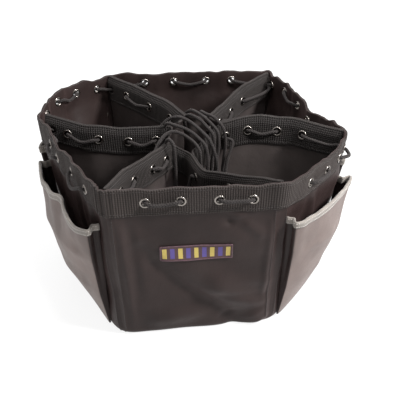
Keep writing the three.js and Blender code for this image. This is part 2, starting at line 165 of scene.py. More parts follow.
# Waves in a pocket's mouth: place along it, width, how far out and how far up.
MOUTH_WAVES = {1: [(0.86, 0.06, 3.0, 2.0), (0.14, 0.05, 2.0, -1.5)],
               2: [(0.3, 0.12, 2.0, -3.0), (0.7, 0.12, -2.0, 2.0)],
               4: [(0.25, 0.12, 2.0, 2.0), (0.65, 0.15, -2.0, -3.0)],
               5: [(0.80, 0.11, 4.0, -8.0), (0.57, 0.07, -5.0, 2.0), (0.3, 0.1, 2.0, -2.0)]}
# How far a pocket's gussets stand off the wall at each height, and how much more its middle does.
POCKET_LEVELS = [{"z": 4, "out": 3.4, "bulge": 1.5}, {"z": 50, "out": 10, "bulge": 11},
                 {"z": 100, "out": 14, "bulge": 13}, {"z": 148, "out": 15, "bulge": 5}]
# Pleats in the rim: their middle along it, their pitch, how far they reach and how deep they are.
PLEATS = {"middle": -6.0, "pitch": 7.5, "reach": 17.0, "deep": 1.1}
# Dents in the rim: the side, the share of it, the width, how far in and how far down.
DENTS = [(2, 0.40, 36.0, 7.0, 5.0), (4, 0.55, 40.0, -4.0, -2.0)]
LABEL_SIZE = {"wide": 77.0, "tall": 18.0, "past": 1.5}
LABEL_BARS = 9
BINDING = {"tall": 7.6, "thick": 0.8}

# In metres, unlike the rest: the camera, and each light's place, size and power.
CAMERA = {"place": (0, -1.0, 0.63), "aim": (0.010, 0, 0.091), "sensor": 36, "lens": 83.25}
LIGHT_AIM = (0, 0, 0.1)
LIGHTS = {"right": ((1.3, -0.6, 1.35), 0.4, 62), "top": ((0.35, -0.4, 2.1), 0.5, 30),
          "left": ((-1.5, -0.7, 1.3), 0.6, 2), "back": ((-0.3, 1.0, 1.7), 1.0, 14)}
FLOOR_HALF = 40.0


# ---- small helpers ----
def mix(p, q, t):
    return p + (q - p) * t


def smooth_step(low, high, x):
    t = np.clip((x - low) / (high - low), 0.0, 1.0)
    return t * t * (3 - 2 * t)


def unit(v):
    return v / np.maximum(np.linalg.norm(v, axis=-1, keepdims=True), 1e-9)


def wobble(points, scale, seed):
    """Smooth noise from -1 to 1 at each point, with features of about that size in millimetres."""
    flat = np.asarray(points, float).reshape(-1, 3) / scale + seed
    values = [noise.noise(Vector(p)) for p in flat]
    return np.array(values).reshape(np.shape(points)[:-1])


def lengths_along(points):
    """How far along a line of points each one is."""
    return np.concatenate([[0], np.cumsum(np.linalg.norm(np.diff(points, axis=0), axis=1))])


def point_at(place, stops, points):
    """The point at a place on a line whose points are at stops."""
    return np.stack([np.interp(place, stops, points[:, k]) for k in range(3)], -1)


def to_the_right(ahead):
    """The level unit normal on the right of a direction."""
    return unit(np.stack([ahead[..., 1], -ahead[..., 0]], -1))


def level_normals(ahead):
    """The same normals in three dimensions, for a line of directions."""
    return unit(np.stack([ahead[..., 1], -ahead[..., 0], 0 * ahead[..., 0]], -1))


def corner_xy(key):
    return np.array([c[key][:2] for c in CORNERS], float)


# ---- the outer loop ----
RIM = corner_xy("rim")
BASE = corner_xy("base")
SIDE_LENGTHS = np.linalg.norm(np.roll(RIM, -1, axis=0) - RIM, axis=1)
STARTS = np.concatenate([[0.0], np.cumsum(SIDE_LENGTHS)[:-1]])
AROUND = float(SIDE_LENGTHS.sum())
BOWS = np.array([side["bow"] for side in SIDES], float)
GATHERS = np.array([side["gather"] for side in SIDES], float)


def loop_point(s, z):
    """The outline at a distance s along the rim, at height z, with sharp corners and bowed sides."""
    s = np.mod(s, AROUND)
    side = np.searchsorted(STARTS, s, side="right") - 1
    t = ((s - STARTS[side]) / SIDE_LENGTHS[side])[..., None]
    rise = (z / HEIGHT)[..., None]
    after = (side + 1) % 6
    low, high = mix(BASE[side], RIM[side], rise), mix(BASE[after], RIM[after], rise)
    along = unit(high - low)
    grown = np.minimum(1, z / (HEIGHT - WEBBING["tall"]))[..., None]
    bow = BOWS[side][..., None] * np.sin(math.pi * t) * grown
    return mix(low, high, t) + np.stack([along[..., 1], -along[..., 0]], -1) * bow


def average_window(count):
    """Even steps from -1 to 1 and weights that fade to nothing at both ends."""
    steps = np.linspace(-1, 1, count + 2)[1:-1]
    weights = np.cos(steps * math.pi / 2) ** 2
    return steps, weights / weights.sum()


def outline_grid(around, up):
    """The outline with rounded corners, averaged over a short stretch, on a grid of lengths and heights."""
    s, z = np.meshgrid(np.linspace(0, AROUND, around + 1), np.linspace(0, HEIGHT, up + 1))
    reach = mix(CORNER_ROUND["base"], CORNER_ROUND["rim"], z / HEIGHT)
    return sum(weight * loop_point(s + step * reach, z) for step, weight in zip(*average_window(41)))


OUTLINE = outline_grid(1200, 30)


def rounded_loop(s, z):
    """A point of the rounded outline, read between the points of its grid."""
    up_count, around_count = OUTLINE.shape[0] - 1, OUTLINE.shape[1] - 1
    across = np.mod(s, AROUND) / AROUND * around_count
    up = np.clip(z, 0, HEIGHT) / HEIGHT * up_count
    i = np.clip(np.floor(across).astype(int), 0, around_count - 1)
    j = np.clip(np.floor(up).astype(int), 0, up_count - 1)
    a, b = (across - i)[..., None], (up - j)[..., None]
    return mix(mix(OUTLINE[j, i], OUTLINE[j, i + 1], a), mix(OUTLINE[j + 1, i], OUTLINE[j + 1, i + 1], a), b)


def past_place(s, place):
    """How far s is past a place along the rim, the shorter way round."""
    return np.mod(s - place + AROUND / 2, AROUND) - AROUND / 2


def corner_distances(s):
    return [np.abs(past_place(s, start)) for start in STARTS]


def corner_distance(s):
    """How far along the rim the nearest corner is."""
    return np.min(corner_distances(s), axis=0)


def fill_at(s):
    """How far the nearest corner is filled out, where the gathered cloth bulges at it."""
    return np.array(CORNER_ROUND["fill"])[np.argmin(corner_distances(s), axis=0)]


def gather_at(s):
    """How much the rim is puckered at a distance along it."""
    middles = STARTS + SIDE_LENGTHS / 2
    return np.interp(np.mod(s, AROUND), middles, GATHERS, period=AROUND)


def fold_depth(s, z):
    """How far the pressed folds move the wall out."""
    total = np.zeros(np.shape(s))
    for side, folds in FOLDS.items():
        length = SIDE_LENGTHS[side]
        x = np.mod(s - STARTS[side] + 30, AROUND) - 30
        for (t0, z0), (t1, z1), width, depth in folds:
            along = np.array([(t1 - t0) * length, z1 - z0])
            long = np.linalg.norm(along)
            dx, dz = x - t0 * length, z - z0
            share = (dx * along[0] + dz * along[1]) / long**2
            off = np.abs(dx * along[1] - dz * along[0]) / long
            ends = smooth_step(-0.25, 0.2, share) * (1 - smooth_step(0.8, 1.25, share))
            total += depth * np.exp(-((off / width) ** 2)) * ends
    return total


def dent_at(s):
    """The share of each rim dent at a distance along the rim: how far in, and how far down."""
    total = np.zeros(np.shape(s) + (2,))
    for side, share, width, inwards, down in DENTS:
        past = past_place(s, STARTS[side] + share * SIDE_LENGTHS[side])
        total += np.exp(-((past / width) ** 2))[..., None] * np.array([inwards, down])
    return total


def pleats_at(s):
    """Narrow upright pleats where the gathered rim turns the front left corner, from -1 to 1."""
    past = past_place(s, PLEATS["middle"])
    return np.sin(past / PLEATS["pitch"] * 2 * math.pi) * np.exp(-((past / PLEATS["reach"]) ** 2))


def seam_ridge(s, z):
    """The raised pair of seam lines down each corner, below the webbing."""
    nearest = corner_distance(s)
    ridge = np.exp(-(((nearest - 7.0) / 1.5) ** 2))
    valley = np.exp(-((nearest / 4.0) ** 2))
    below_tape = 1 - smooth_step(HEIGHT - 40, HEIGHT - 30, z)
    return (0.9 * ridge - 1.2 * valley) * below_tape * smooth_step(2, 16, z)


def wall_point(s, z, out=0.0):
    """A point of the outer wall's outside face, moved out by out."""
    s, z = np.broadcast_arrays(np.asarray(s, float), np.asarray(z, float))
    here = rounded_loop(s, z)
    normal = to_the_right(rounded_loop(s + 0.5, z) - rounded_loop(s - 0.5, z))
    flat = np.concatenate([here, z[..., None]], -1)
    ground = np.concatenate([here, 0 * z[..., None]], -1)
    below = 1 - smooth_step(HEIGHT - 50, HEIGHT - 22, z)
    above = smooth_step(HEIGHT - 90, HEIGHT, z)
    gather = gather_at(s)
    corner = np.exp(-((corner_distance(s) / 14) ** 2))
    soft = 2.4 * wobble(flat, 62, 3.7) + 1.1 * wobble(flat, 27, 11.3)
    push = (0.3 + 0.7 * below) * soft + fold_depth(s, z) * below + seam_ridge(s, z)
    push += above * gather * (3.0 * wobble(ground, 30, 7.9) + 2.0 * wobble(ground, 15, 51.2))
    push += above * PLEATS["deep"] * pleats_at(s)
    dent = dent_at(s)
    push -= above * dent[..., 0]
    push += fill_at(s) * corner * smooth_step(20, HEIGHT, z)
    push -= 5.0 * smooth_step(HEIGHT - 30, HEIGHT, z) * smooth_step(40, 120, here[..., 1])
    hem = 7.0
    tuck = np.clip(1 - z / hem, 0, 1)
    push -= hem * (1 - np.sqrt(1 - tuck**2 * 0.96))
    lift = gather * (3.8 * wobble(ground, 27, 21.5) + 2.4 * wobble(ground, 12, 91.5))
    rise = z + smooth_step(HEIGHT - 60, HEIGHT, z) * (lift - dent[..., 1])
    return np.concatenate([here + normal * (push + out)[..., None], rise[..., None]], -1)


def surface_normal(surface, s, t, step=0.5):
    """The unit normal of a surface of two lengths, on the side that faces out of the cloth."""
    across = surface(s + step, t) - surface(s - step, t)
    up = surface(s, t + step) - surface(s, t - step)
    return unit(np.cross(across, up))


# ---- the linings ----
def lining_lines(side):
    """The lining's eight points at the floor and at the rim."""
    after = (side + 1) % 6
    low, high = CORNERS[side], CORNERS[after]

    def start(corner, z):
        back = loop_point(STARTS[corner] - 0.01, np.array(z)) - loop_point(STARTS[corner] - 1.01, np.array(z))
        on = loop_point(STARTS[corner] + 1.01, np.array(z)) - loop_point(STARTS[corner] + 0.01, np.array(z))
        inward = [np.array([-unit(v)[1], unit(v)[0]]) for v in (back, on)]
        share = PLY["corner_inset"] / (1 + inward[0] @ inward[1])
        return loop_point(STARTS[corner] + 0.001, np.array(z)) + (inward[0] + inward[1]) * share

    top = [(*start(side, HEIGHT), HEIGHT), low["a"], low["b"], low["inner"],
           high["inner"], high["b"], high["a"], (*start(after, HEIGHT), HEIGHT)]
    thirds = [0, 1 / 3, 2 / 3, 1]
    run = [mix(start(side, FLOOR), np.array(low["base_inner"], float), t) for t in thirds]
    run += [mix(start(after, FLOOR), np.array(high["base_inner"], float), t) for t in reversed(thirds)]
    bottom = [(*p, FLOOR) for p in run]
    return np.array(bottom, float), np.array(top, float)


LINES = [lining_lines(side) for side in range(6)]
STOPS = [lengths_along(top) for _, top in LINES]


def lining_length(side):
    return STOPS[side][-1]


def lining_line(side, s, drop):
    """A point on the partition's own line, s along the lining's rim and drop below it."""
    bottom, top = LINES[side]
    stops = STOPS[side]
    total = 0.0
    for step, weight in zip(*average_window(11)):
        at = s + step * 15.0
        for ends, points in ((0.0, bottom), (1.0, top)):
            line = point_at(at, stops, points)
            before = np.minimum(at, 0)[..., None] * (points[1] - points[0]) / stops[1]
            beyond = np.maximum(at - stops[-1], 0)[..., None]
            line += before + beyond * (points[-1] - points[-2]) / (stops[-1] - stops[-2])
            tall = np.interp(at, stops, top[:, 2] - bottom[:, 2])
            share = 1 - drop / tall
            total = total + weight * line * (share if ends else 1 - share)[..., None]
    return total


def lining_point(side, s, drop, off=0.0):
    """A point off the partition's line on the pouch's side.

    Both plies sag together, so they never cross, and they close up towards the rim, where they are sewn.
    """
    s, drop = np.broadcast_arrays(np.asarray(s, float), np.asarray(drop, float))
    line = lining_line(side, s, drop)
    off = off * (0.35 + 0.65 * smooth_step(0, 9, drop))
    normal = to_the_right(lining_line(side, s + 0.5, drop) - lining_line(side, s - 0.5, drop))
    corner = np.minimum(s, lining_length(side) - s)
    free = smooth_step(0, 35, corner) * smooth_step(-2, 40, line[..., 2])
    deep = 1.6 + 5.4 * smooth_step(20, 90, drop)
    sag = [wobble(line * [1, 1, 0.5], 44, seed) * deep * free for seed in (5.1, 31.7)]
    ripple = 2.2 * wobble(line * [1, 1, 0], 26, 44.9) * free * (1 - smooth_step(0, 70, drop))
    x = line[..., 0] + normal[..., 0] * off + sag[0]
    y = line[..., 1] + normal[..., 1] * off + sag[1]
    return np.stack([x, y, line[..., 2] + ripple], -1)


# ---- meshes ----
def add_piece(name, vertices, faces, material, replaces=(), coordinates=None, smooth=True):
    """A mesh in the frame, in metres, riding on the bag."""
    mesh = bpy.data.meshes.new(name)
    mesh.from_pydata((np.asarray(vertices) * MM).tolist(), [], faces)
    mesh.polygons.foreach_set("use_smooth", [smooth] * len(mesh.polygons))
    if coordinates is not None:
        attribute = mesh.attributes.new("cloth", "FLOAT_VECTOR", "POINT")
        attribute.data.foreach_set("vector", np.asarray(coordinates, np.float32).ravel())
    mesh.validate()
    mesh.update()
    piece = bpy.data.objects.new(name, mesh)
    bpy.context.scene.collection.objects.link(piece)
    piece.data.materials.append(material)
    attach(piece, BODY)
    if replaces:
        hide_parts(*replaces)
    return piece


def cloth(name, points, lengths, thick, material, replaces=(), closed=False, holes=(), inward=True):
    """A sheet of cloth over a grid of points. lengths gives each point's place on the flat cloth."""
    rows, columns = points.shape[:2]
    flat = points.reshape(-1, 3).copy()
    index = np.arange(rows * columns).reshape(rows, columns)
    right = np.roll(index, -1, axis=1) if closed else index[:, 1:]
    left = index if closed else index[:, :-1]
    quads = np.stack([left[:-1], right[:-1], right[1:], left[1:]], -1).reshape(-1, 4)
    if len(holes):
        centres = flat[quads].mean(1)
        cut = np.zeros(len(quads), bool)
        for centre, radius in holes:
            cut |= np.linalg.norm(centres - centre, axis=1) < radius
        edge = np.intersect1d(quads[cut], quads[~cut])
        for centre, radius in holes:
            ring = edge[np.linalg.norm(flat[edge] - centre, axis=1) < radius * 1.6]
            flat[ring] = centre + unit(flat[ring] - centre) * radius
        quads = quads[~cut]
    used, compact = np.unique(quads, return_inverse=True)
    coordinates = np.concatenate([lengths.reshape(-1, 2), np.zeros((rows * columns, 1))], 1)
    piece = add_piece(name, flat[used], compact.reshape(-1, 4).tolist(), material, replaces,
                      coordinates[used])
    solid = piece.modifiers.new("thickness", "SOLIDIFY")
    solid.thickness = thick * MM
    solid.offset = -1 if inward else 1
    return piece


def tube(name, points, radius, material, replaces=(), sides=12):
    """A round tube along closely spaced points, with rounded ends."""
    points = np.asarray(points, float)
    tangents = unit(np.gradient(points, axis=0))
    side = unit(np.cross(tangents[0], [0.31, 0.17, 0.93]))
    rings, places = [], []
    travelled = lengths_along(points)
    for i, (point, tangent) in enumerate(zip(points, tangents)):
        side = unit(side - tangent * (side @ tangent))
        other = np.cross(tangent, side)
        angles = np.arange(sides) / sides * 2 * math.pi
        rings.append(point + radius * (np.cos(angles)[:, None] * side + np.sin(angles)[:, None] * other))
        places.append(np.stack([angles * radius, np.full(sides, travelled[i]), 0 * angles], -1))
    vertices = np.concatenate(rings + [points[[0]] - tangents[0] * radius * 0.5,
                                       points[[-1]] + tangents[-1] * radius * 0.5])
    first, last = len(vertices) - 2, len(vertices) - 1
    faces = []
    for i in range(len(points) - 1):
        for j in range(sides):
            k = (j + 1) % sides
            faces.append((i * sides + j, i * sides + k, (i + 1) * sides + k, (i + 1) * sides + j))
    end = (len(points) - 1) * sides
    for j in range(sides):
        k = (j + 1) % sides
        faces.append((k, j, first))
        faces.append((end + j, end + k, last))
    coordinates = np.concatenate(places + [places[0][:1], places[-1][:1]])
    return add_piece(name, vertices, faces, material, replaces, coordinates)


def curve_through(points, step=1.6):
    """Closely spaced points on a centripetal Catmull-Rom curve through the given ones."""
    points = np.asarray(points, float)
    ends = [2 * points[0] - points[1], 2 * points[-1] - points[-2]]
    padded = np.concatenate([ends[:1], points, ends[1:]])
    out = []
    for p0, p1, p2, p3 in zip(padded, padded[1:], padded[2:], padded[3:]):
        spans = [np.linalg.norm(b - a) for a, b in ((p0, p1), (p1, p2), (p2, p3))]
        knots = np.cumsum([0] + [max(span, 1e-6) ** 0.5 for span in spans])
        count = max(2, int(np.linalg.norm(p2 - p1) / step))
        for t in np.linspace(knots[1], knots[2], count, endpoint=False):
            a1 = mix(p0, p1, (t - knots[0]) / (knots[1] - knots[0]))
            a2 = mix(p1, p2, (t - knots[1]) / (knots[2] - knots[1]))
            a3 = mix(p2, p3, (t - knots[2]) / (knots[3] - knots[2]))
            b1 = mix(a1, a2, (t - knots[0]) / (knots[2] - knots[0]))
            b2 = mix(a2, a3, (t - knots[1]) / (knots[3] - knots[1]))
            out.append(mix(b1, b2, (t - knots[1]) / (knots[2] - knots[1])))
    return np.array(out + [points[-1]])


def ring_of(profile, place, normal, segments=28):
    """Vertices and faces of a closed profile of (radius, height) turned about a normal."""
    normal = unit(np.asarray(normal, float))
    side = unit(np.cross(normal, [0.2, 0.3, 0.9]))
    other = np.cross(normal, side)
    vertices, faces = [], []
    count = len(profile)
    for j in range(segments):
        angle = j / segments * 2 * math.pi
        spoke = math.cos(angle) * side + math.sin(angle) * other
        vertices += [place + spoke * r + normal * h for r, h in profile]
    for j in range(segments):
        k = (j + 1) % segments
        for i in range(count):
            n = (i + 1) % count
            faces.append((j * count + i, j * count + n, k * count + n, k * count + i))
    return np.array(vertices), faces


# ---- materials ----
class Nodes:
    """A material's node tree, with short calls for what the cloths share."""

    def __init__(self, name):
        self.material = bpy.data.materials.new(name)
        self.material.use_nodes = True
        self.tree = self.material.node_tree
        self.shader = self.tree.nodes["Principled BSDF"]

    def add(self, kind, **values):
        node = self.tree.nodes.new(kind)
        for key, value in values.items():
            setattr(node, key, value)
        return node

    def link(self, source, target):
        self.tree.links.new(source, target)

    def math(self, operation, first, second=None):
        node = self.add("ShaderNodeMath", operation=operation)
        for socket, value in zip(node.inputs, (first, second)):
            if isinstance(value, (int, float)):
                socket.default_value = value
            elif value is not None:
                self.link(value, socket)
        return node.outputs[0]

    def cloth_lengths(self):
        """The place on the flat cloth, in millimetres: along it and up it."""
        attribute = self.add("ShaderNodeAttribute", attribute_name="cloth")
        split = self.add("ShaderNodeSeparateXYZ")
        self.link(attribute.outputs["Vector"], split.inputs[0])
        return split.outputs[0], split.outputs[1]

    def wave(self, length, pitch):
        """A smooth wave from 0 to 1 with that pitch."""
        turned = self.math("SINE", self.math("MULTIPLY", length, 2 * math.pi / pitch))
        return self.math("ADD", self.math("MULTIPLY", turned, 0.5), 0.5)

    def noise(self, scale, detail=3.0, roughness=0.55):
        """Noise in space; scale is in features per metre."""
        place = self.add("ShaderNodeTexCoord")
        node = self.add("ShaderNodeTexNoise")
        self.link(place.outputs["Object"], node.inputs["Vector"])
        node.inputs["Scale"].default_value = scale
        node.inputs["Detail"].default_value = detail
        node.inputs["Roughness"].default_value = roughness
        return node.outputs["Fac"]

    def ramp(self, value, stops, interpolation="LINEAR"):
        node = self.add("ShaderNodeValToRGB")
        self.link(value, node.inputs[0])
        node.color_ramp.interpolation = interpolation
        elements = node.color_ramp.elements
        while len(elements) < len(stops):
            elements.new(0.5)
        for element, (position, color) in zip(elements, stops):
            element.position = position
            element.color = (*color, 1.0)
        return node.outputs[0]

    def bump(self, height, strength, distance, below=None):
        node = self.add("ShaderNodeBump")
        node.inputs["Strength"].default_value = strength
        node.inputs["Distance"].default_value = distance * MM
        self.link(height, node.inputs["Height"])
        if below is not None:
            self.link(below, node.inputs["Normal"])
        return node.outputs[0]

    def finish(self, color, normal=None, roughness=0.6, sheen=0.0, sheen_tint=(1, 1, 1), metallic=0.0,
               specular=0.5):
        if color is not None:
            self.link(color, self.shader.inputs["Base Color"])
        if normal is not None:
            self.link(normal, self.shader.inputs["Normal"])
        if isinstance(roughness, (int, float)):
            self.shader.inputs["Roughness"].default_value = roughness
        else:
            self.link(roughness, self.shader.inputs["Roughness"])
        self.shader.inputs["Metallic"].default_value = metallic
        self.shader.inputs["Specular IOR Level"].default_value = specular
        self.shader.inputs["Sheen Weight"].default_value = sheen
        self.shader.inputs["Sheen Roughness"].default_value = 0.45
        self.shader.inputs["Sheen Tint"].default_value = (*sheen_tint, 1.0)
        return self.material


def shades(color, spread):
    return [tuple(c * k for c in color) for k in (1 - spread, 1.0, 1 + spread)]


def nylon_material(name, color, sheen, tint, pitch=0.9):
    """Coated nylon: a plain weave, a soft crumple and a slow change of shade."""
    n = Nodes(name)
    along, up = n.cloth_lengths()
    dark, middle, light = shades(color, 0.28)
    shade = n.ramp(n.noise(16, 4), [(0.3, dark), (0.5, middle), (0.72, light)])
    weave = n.math("MULTIPLY", n.wave(along, pitch), n.wave(up, pitch))
    crumple = n.bump(n.noise(70, 4, 0.6), 0.4, 1.4)
    normal = n.bump(weave, 0.5, 0.12, crumple)
    rough = n.math("MULTIPLY", n.noise(40, 2), 0.22)
    return n.finish(shade, normal, n.math("ADD", rough, 0.40), sheen, tint, specular=0.20)


def webbing_material(name, color):
    """Ribbed webbing: ribs across the tape, with finer lines along it."""
    n = Nodes(name)
    along, up = n.cloth_lengths()
    dark, middle, light = shades(color, 0.45)
    rib = n.wave(along, 2.7)
    line = n.wave(up, 2.3)
    ply = n.math("ADD", n.math("MULTIPLY", line, 0.5), 0.5)
    thread = n.math("MULTIPLY", n.math("POWER", rib, 0.6), ply)
    shade = n.ramp(n.math("MULTIPLY", thread, n.math("ADD", n.noise(30, 3), 0.45)),
                   [(0.1, dark), (0.5, middle), (0.9, light)])
    fuzz = n.bump(n.noise(900, 2), 0.3, 0.15)
    return n.finish(shade, n.bump(thread, 1.0, 1.0, fuzz), 0.75, 0.07, (0.85, 0.72, 0.68), specular=0.26)


def tape_material(name, color):
    """Fine woven edge tape."""
    n = Nodes(name)
    along, up = n.cloth_lengths()
    dark, middle, light = shades(color, 0.22)
    thread = n.math("MULTIPLY", n.wave(along, 1.1), n.wave(up, 1.6))
    shade = n.ramp(n.noise(60, 3), [(0.3, dark), (0.5, middle), (0.7, light)])
    return n.finish(shade, n.bump(thread, 0.6, 0.25), 0.8, 0.25, (1, 1, 1), specular=0.3)


def braid_material(name, color):
    """Braided cord: two sets of strands that cross as they wind round it."""
    n = Nodes(name)
    round_it, along = n.cloth_lengths()
    turn = n.math("MULTIPLY", round_it, 8 / (2 * CORD_RADIUS))
    climb = n.math("MULTIPLY", along, 2 * math.pi / 3.0)
    one = n.math("SINE", n.math("ADD", turn, climb))
    two = n.math("SINE", n.math("SUBTRACT", turn, climb))
    strands = n.math("MAXIMUM", one, two)
    dark, middle, light = shades(color, 0.35)
    shade = n.ramp(n.math("ADD", n.math("MULTIPLY", strands, 0.4), 0.4),
                   [(0.1, dark), (0.5, middle), (0.8, light)])
    return n.finish(shade, n.bump(strands, 0.8, 0.35), 0.7, 0.1, (0.9, 0.8, 0.78), specular=0.3)


def thread_material(name, color):
    n = Nodes(name)
    dark, middle, light = shades(color, 0.2)
    shade = n.ramp(n.noise(400, 1), [(0.3, dark), (0.5, middle), (0.7, light)])
    return n.finish(shade, n.bump(n.noise(2500, 1), 0.4, 0.1), 0.65, 0.2, specular=0.4)


def metal_material(name, color):
    """Nickel plate with a little tarnish."""
    n = Nodes(name)
    dark, middle, light = shades(color, 0.18)
    shade = n.ramp(n.noise(260, 3), [(0.3, dark), (0.5, middle), (0.75, light)])
    rough = n.math("ADD", n.math("MULTIPLY", n.noise(500, 3), 0.2), 0.16)
    return n.finish(shade, n.bump(n.noise(700, 2), 0.12, 0.1), rough, metallic=1.0)


def label_material(name):
    """A woven label: plain upright bars, gold and indigo in turn, on a dark ground."""
    n = Nodes(name)
    along, up = n.cloth_lengths()
    ground, indigo, gold = (0.060, 0.032, 0.034), (0.075, 0.055, 0.20), (0.40, 0.31, 0.085)
    stops = [(0.0, ground)]
    for i in range(LABEL_BARS):
        color = indigo if i % 2 else gold
        stops += [((i + 0.22) / LABEL_BARS, color), ((i + 0.78) / LABEL_BARS, ground)]
    bars = n.ramp(n.math("DIVIDE", along, LABEL_SIZE["wide"]), stops, "CONSTANT")
    inside = n.math("MULTIPLY", n.math("GREATER_THAN", up, 2.6), n.math("LESS_THAN", up, 15.4))
    blend = n.add("ShaderNodeMix", data_type="RGBA")
    n.link(inside, blend.inputs["Factor"])
    blend.inputs["A"].default_value = (*ground, 1.0)
    n.link(bars, blend.inputs["B"])
    thread = n.math("MULTIPLY", n.wave(along, 0.7), n.wave(up, 0.9))
    return n.finish(blend.outputs["Result"], n.bump(thread, 0.6, 0.2), 0.6, 0.1, specular=0.25)


NYLON = nylon_material("nylon", (0.0185, 0.0120, 0.0110), 0.06, (0.95, 0.62, 0.60))
# The linings' nylon is about twice as light as the walls' nylon: painted light, standing in for the light
# that reaches into the pouches and for the linings' satin sheen.
LINING_NYLON_PAINTED_LIGHT = nylon_material("lining_nylon_painted_light", (0.036, 0.0293, 0.0275), 0.08, (0.95, 0.74, 0.74))
POCKET_NYLON = nylon_material("pocket_nylon", (0.137, 0.107, 0.0975), 0.08, (0.95, 0.80, 0.76))
TAPE = webbing_material("webbing", (0.0215, 0.0160, 0.0140))
# The linings' webbing is a much darker copy of the rim webbing: painted shade, standing in for the shade
# inside the bag and dimming the light caught on its top edges.
LINING_TAPE_PAINTED_SHADE = webbing_material("lining_webbing", (0.0085, 0.0064, 0.0056))
BINDING_TAPE = tape_material("binding", (0.185, 0.165, 0.148))
CORD = braid_material("braided_cord", (0.0105, 0.0078, 0.0073))
THREAD = thread_material("thread", (0.022, 0.0165, 0.0155))
PALE_THREAD = thread_material("pale_thread", (0.42, 0.39, 0.36))
NICKEL = metal_material("nickel", (0.27, 0.245, 0.225))
LABEL = label_material("label_bands")
LABEL_EDGE = thread_material("label_edge", (0.060, 0.026, 0.034))


# ---- camera ----
def add_camera():
    camera = bpy.data.objects.new("camera", bpy.data.cameras.new("camera"))
    bpy.context.scene.collection.objects.link(camera)
    place = Vector(CAMERA["place"])
    camera.location = place
    camera.rotation_euler = (Vector(CAMERA["aim"]) - place).to_track_quat("-Z", "Y").to_euler()
    camera.data.sensor_width = CAMERA["sensor"]
    camera.data.lens = CAMERA["lens"]
    camera.data.clip_end = 200
    bpy.context.scene.camera = camera


# ---- eyelets ----
def eyelet_profile(outer, inner):
    """A rolled eyelet: a rounded flange on each face, joined by a barrel."""
    middle = (EYELET["hole"] + EYELET["flange"]) / 2
    half = (EYELET["flange"] - EYELET["hole"]) / 2
    front = [(middle + half * math.cos(a), outer + 0.75 * half * math.sin(a))
             for a in np.linspace(0, math.pi, 8)]
    back = [(middle + half * math.cos(a), inner + 0.75 * half * math.sin(a))
            for a in np.linspace(math.pi, 2 * math.pi, 8)]
    return front + back


def add_eyelet(name, place, normal, outer, inner, replaces=()):
    vertices, faces = ring_of(eyelet_profile(outer, inner), place, normal)
    faces = [tuple(reversed(f)) for f in faces]
    return add_piece(name, vertices, faces, NICKEL, replaces)


def nearest_length(node, lengths):
    """The one of some lengths along the rim that is nearest to a CAD node, and the node's height."""
    low, high = node_box(node)
    centre = (low + high) / 2
    away = np.linalg.norm(rounded_loop(lengths, np.full(len(lengths), centre[2])) - centre[:2], axis=1)
    return float(lengths[away.argmin()]), centre[2]


def wall_eyelets(side):
    """Where each of a wall's eyelets is along the rim, read from its CAD node."""
    lengths = STARTS[side] + np.linspace(0.05, 0.95, 400) * SIDE_LENGTHS[side]
    return [nearest_length(f"eyelet_{SIDES[side]['name']}_{i}", lengths)[0] for i in range(1, 5)]


WALL_EYELETS = [wall_eyelets(side) for side in range(6)]


def eyelet_z(side):
    """The height of a wall's eyelets. The back rims curl inwards, so theirs are nearer the edge."""
    return HEIGHT - EYELET["back_drop" if side in BACK_SIDES else "drop"]


def arm_length(side, arm):
    stops = STOPS[side]
    return stops[3] if arm == "low" else stops[-1] - stops[4]


def arm_s(side, arm, distance):
    """The place along the lining that is distance from the corner, along one of its arms."""
    return distance if arm == "low" else lining_length(side) - distance


def arm_eyelets(side, arm):
    return [share * arm_length(side, arm) for share in SIDES[side]["eyelets"][arm]]


# ---- the pieces ----
def rows_of(*stretches):
    """Heights from stretches of (from, to, step), without repeats."""
    parts = [np.arange(a, b, step) for a, b, step in stretches]
    return np.concatenate(parts + [[stretches[-1][1]]])


def loop_stations():
    """Distances along the rim, closer together over each corner's seam."""
    stations = []
    for start, length in zip(STARTS, SIDE_LENGTHS):
        steps = rows_of((0, 11, 0.8), (11, length - 11, 1.9), (length - 11, length, 0.8))
        stations.append(start + steps[:-1])
    return np.concatenate(stations)


def wall_holes(out):
    return [(wall_point(s, eyelet_z(side), out), EYELET["cut"])
            for side, found in enumerate(WALL_EYELETS) for s in found]


def add_outer_shell():
    s, z = np.meshgrid(loop_stations(), rows_of((0, 8, 0.8), (8, HEIGHT, 2.0)))
    cloth("outer_shell", wall_point(s, z), np.stack([s, z], -1), WALL, NYLON,
          [f"wall_{side['name']}" for side in SIDES], closed=True, holes=wall_holes(0))


def add_rim_webbing():
    s, z = np.meshgrid(loop_stations(), rows_of((HEIGHT - WEBBING["tall"], HEIGHT, 1.6)))
    out = WEBBING["gap"] + WEBBING["thick"]
    cloth("rim_webbing_tape", wall_point(s, z, out), np.stack([s, z], -1), WEBBING["thick"], TAPE,
          ["rim_webbing"], closed=True, holes=wall_holes(out))


def add_base():
    """The base is one panel, a little uneven, whose edge meets the walls' inner face."""
    s = loop_stations()
    edge = wall_point(s, np.full(len(s), FLOOR - 0.4), -WALL - 0.2)[:, :2]
    middle = edge.mean(0)
    shares = np.linspace(0, 1, 40)
    rings = middle + shares[:, None, None] * (edge - middle)
    x, y = rings[..., 0], rings[..., 1]
    flat = np.stack([x, y, 0 * x], -1)
    z = FLOOR - 0.4 + 0.5 * wobble(flat, 45, 8.8) * (1 - shares[:, None] ** 4)
    cloth("base_cloth", np.stack([x, y, z], -1)[1:], np.stack([x, y], -1)[1:], 1.9, NYLON,
          ["base_panel"], closed=True, inward=True)


def lining_holes(side, off):
    holes = []
    for arm in ("low", "high"):
        places = [arm_s(side, arm, d) for d in arm_eyelets(side, arm)]
        if arm in SIDES[side]["over"]:
            places.append(arm_s(side, arm, CORNER_PASS))
        holes += [(lining_point(side, s, EYELET["drop"], off), EYELET["cut"]) for s in places]
    return holes


